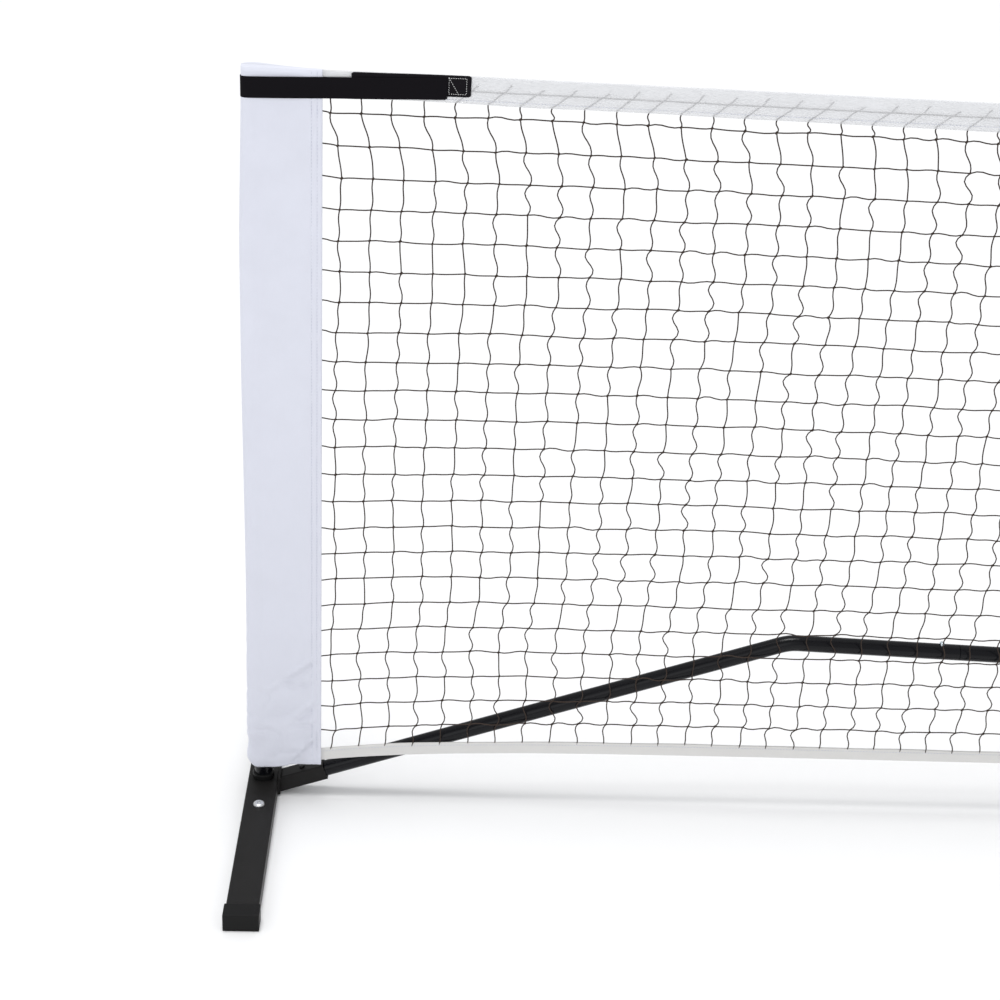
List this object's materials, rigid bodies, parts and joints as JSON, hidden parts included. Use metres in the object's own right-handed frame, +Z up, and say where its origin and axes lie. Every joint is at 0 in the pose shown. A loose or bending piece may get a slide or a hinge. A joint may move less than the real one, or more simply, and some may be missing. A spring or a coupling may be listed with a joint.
{
  "type": "portable court net",
  "caption": "Portable court net: white-bound black netting with post sleeves and hook-and-loop straps, on a plug-together black tube frame with flat floor feet and snap buttons.",
  "frame": {"origin": "on the floor under the middle of the net, midway between the two posts", "axes": "+X along the net towards the right post, +Z up; the netting hangs on the -Y side of the tubes"},
  "size_m": [6.7474, 0.554, 0.9158],
  "materials": {
    "bottom_binding": "matte",
    "button_black": "gloss",
    "button_steel": "polished",
    "foot_coat": "satin",
    "moulded_cap": "matte",
    "moulded_collar": "gloss",
    "plain_steel": "satin",
    "sleeve_cloth": "matte",
    "spring_steel": "satin",
    "top_binding": "matte",
    "tube_coat": "satin",
    "twine": "matte",
    "webbing": "matte",
    "zinc_screw": "polished"
  },
  "bodies": {
    "frame": {"bottom_tape": "bottom_binding", "button_clips": "spring_steel", "centre_foot_cap_back": "moulded_cap", "centre_foot_cap_front": "moulded_cap", "centre_foot_plate": "plain_steel", "centre_foot_screws": "zinc_screw", "centre_foot_tube": "foot_coat", "centre_hub": "tube_coat", "centre_upright": "tube_coat", "left_bent_tube": "tube_coat", "left_foot_cap_back": "moulded_cap", "left_foot_cap_front": "moulded_cap", "left_foot_plate": "plain_steel", "left_foot_screws": "zinc_screw", "left_foot_tube": "foot_coat", "left_post_cap": "moulded_cap", "left_post_collar": "moulded_collar", "left_post_spigot": "plain_steel", "left_post_tube": "tube_coat", "left_run_tube_1": "tube_coat", "left_run_tube_2": "tube_coat", "left_run_tube_3": "tube_coat", "left_sleeve": "sleeve_cloth", "left_socket_plate": "foot_coat", "left_strap": "webbing", "left_strap_tab": "webbing", "left_tube_socket": "foot_coat", "netting": "twine", "right_bent_tube": "tube_coat", "right_foot_cap_back": "moulded_cap", "right_foot_cap_front": "moulded_cap", "right_foot_plate": "plain_steel", "right_foot_screws": "zinc_screw", "right_foot_tube": "foot_coat", "right_post_cap": "moulded_cap", "right_post_collar": "moulded_collar", "right_post_spigot": "plain_steel", "right_post_tube": "tube_coat", "right_run_tube_1": "tube_coat", "right_run_tube_2": "tube_coat", "right_run_tube_3": "tube_coat", "right_sleeve": "sleeve_cloth", "right_socket_plate": "foot_coat", "right_strap": "webbing", "right_strap_tab": "webbing", "right_tube_socket": "foot_coat", "top_tape": "top_binding"},
    "left_button_hub": {"left_button_hub": "button_steel"},
    "left_button_joint_1": {"left_button_joint_1": "button_steel"},
    "left_button_joint_2": {"left_button_joint_2": "button_steel"},
    "left_button_joint_3": {"left_button_joint_3": "button_steel"},
    "left_button_socket": {"left_button_socket": "button_black"},
    "right_button_hub": {"right_button_hub": "button_steel"},
    "right_button_joint_1": {"right_button_joint_1": "button_steel"},
    "right_button_joint_2": {"right_button_joint_2": "button_steel"},
    "right_button_joint_3": {"right_button_joint_3": "button_steel"},
    "right_button_socket": {"right_button_socket": "button_black"}
  },
  "joints": [
    {"name": "left_button_hub_press", "type": "slide", "parent": "frame", "child": "left_button_hub", "axis": [-0.037, 0, -0.9993], "range_m": [0, 0.0045], "stiffness_N_per_m": 900, "springref_m": -0.003, "deforming": ["button_clips"]},
    {"name": "left_button_joint_1_press", "type": "slide", "parent": "frame", "child": "left_button_joint_1", "axis": [-0.037, 0, -0.9993], "range_m": [0, 0.0045], "stiffness_N_per_m": 900, "springref_m": -0.003, "deforming": ["button_clips"]},
    {"name": "left_button_joint_2_press", "type": "slide", "parent": "frame", "child": "left_button_joint_2", "axis": [-0.037, 0, -0.9993], "range_m": [0, 0.0045], "stiffness_N_per_m": 900, "springref_m": -0.003, "deforming": ["button_clips"]},
    {"name": "left_button_joint_3_press", "type": "slide", "parent": "frame", "child": "left_button_joint_3", "axis": [-0.037, 0, -0.9993], "range_m": [0, 0.0045], "stiffness_N_per_m": 900, "springref_m": -0.003, "deforming": ["button_clips"]},
    {"name": "left_button_socket_press", "type": "slide", "parent": "frame", "child": "left_button_socket", "axis": [0.3322, 0, -0.9432], "range_m": [0, 0.0045], "stiffness_N_per_m": 900, "springref_m": -0.003, "deforming": ["button_clips"]},
    {"name": "right_button_hub_press", "type": "slide", "parent": "frame", "child": "right_button_hub", "axis": [0.037, 0, -0.9993], "range_m": [0, 0.0045], "stiffness_N_per_m": 900, "springref_m": -0.003, "deforming": ["button_clips"]},
    {"name": "right_button_joint_1_press", "type": "slide", "parent": "frame", "child": "right_button_joint_1", "axis": [0.037, 0, -0.9993], "range_m": [0, 0.0045], "stiffness_N_per_m": 900, "springref_m": -0.003, "deforming": ["button_clips"]},
    {"name": "right_button_joint_2_press", "type": "slide", "parent": "frame", "child": "right_button_joint_2", "axis": [0.037, 0, -0.9993], "range_m": [0, 0.0045], "stiffness_N_per_m": 900, "springref_m": -0.003, "deforming": ["button_clips"]},
    {"name": "right_button_joint_3_press", "type": "slide", "parent": "frame", "child": "right_button_joint_3", "axis": [0.037, 0, -0.9993], "range_m": [0, 0.0045], "stiffness_N_per_m": 900, "springref_m": -0.003, "deforming": ["button_clips"]},
    {"name": "right_button_socket_press", "type": "slide", "parent": "frame", "child": "right_button_socket", "axis": [-0.3322, 0, -0.9432], "range_m": [0, 0.0045], "stiffness_N_per_m": 900, "springref_m": -0.003, "deforming": ["button_clips"]}
  ]
}
